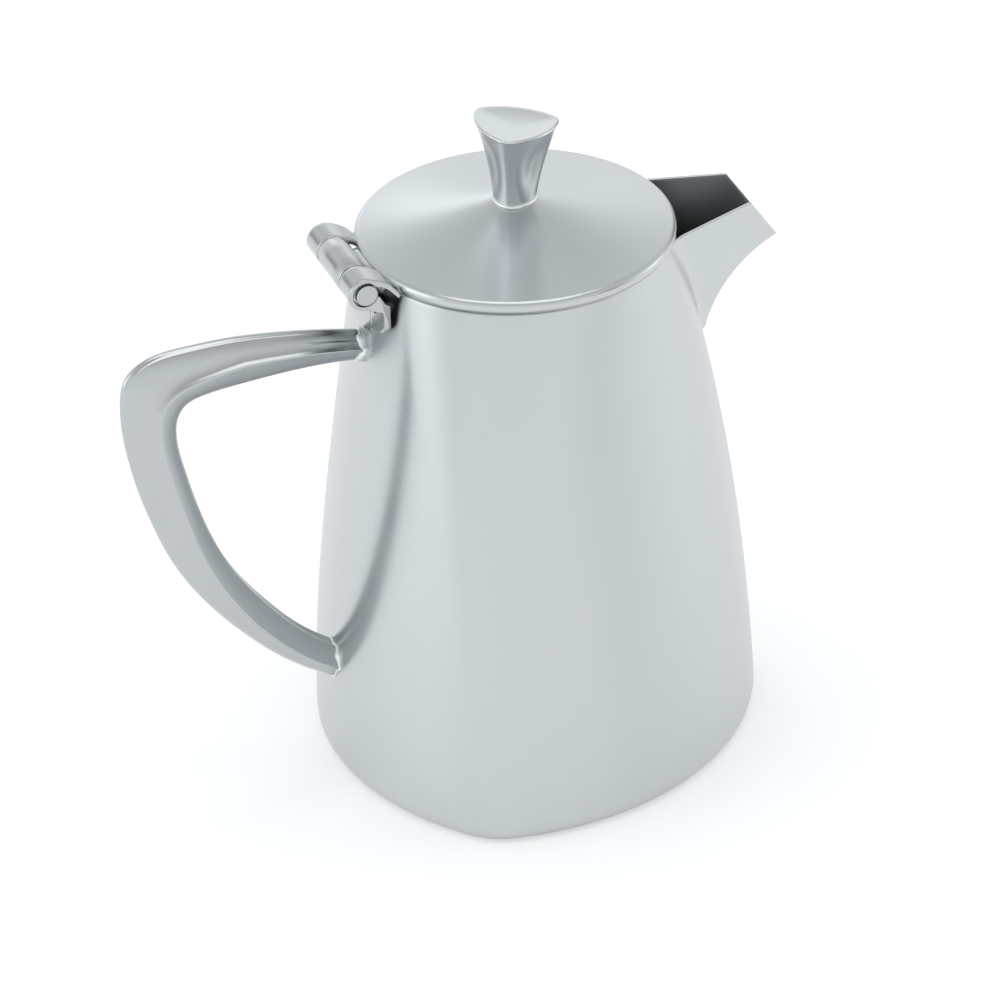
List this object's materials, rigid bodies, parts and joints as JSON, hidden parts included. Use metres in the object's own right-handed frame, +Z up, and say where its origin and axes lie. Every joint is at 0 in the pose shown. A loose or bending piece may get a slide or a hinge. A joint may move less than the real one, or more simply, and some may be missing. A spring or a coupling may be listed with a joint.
{
  "type": "coffee pot",
  "caption": "Stainless steel coffee pot with a flared rounded-triangle body, V-shaped pouring beak, angular loop handle and a hinged lid with a flaring knob.",
  "frame": {"origin": "middle of the flat base, on the surface that the pot stands on", "axes": "+Z up along the body's axis, +X towards the spout, -X towards the handle and the hinge"},
  "size_m": [0.1523, 0.0982, 0.152],
  "materials": {
    "satin_body": "satin brushed stainless steel",
    "satin_lid": "satin stainless steel with a turned grain",
    "cast_satin": "satin cast stainless steel, linished by hand",
    "satin_sheet": "satin stainless steel sheet",
    "plain_steel": "plain drawn stainless steel",
    "weld_bead": "bright polished weld"
  },
  "bodies": {
    "pot": {"base_pan": "satin_body", "body_wall": "satin_body", "spout": "satin_body", "hinge_bracket": "satin_sheet", "hinge_pin": "plain_steel", "handle": "cast_satin", "handle_upper_weld": "weld_bead", "handle_lower_weld": "weld_bead"},
    "lid": {"lid_cover": "satin_lid", "lid_ring": "plain_steel", "lid_knob": "cast_satin", "knob_weld": "weld_bead", "lid_hinge_leaf": "satin_sheet"}
  },
  "joints": [
    {"name": "lid_hinge", "type": "hinge", "parent": "pot", "child": "lid", "pos_m": [-0.03895, 0, 0.1243], "axis": [0, -1, 0], "range_deg": [0, 110]}
  ]
}
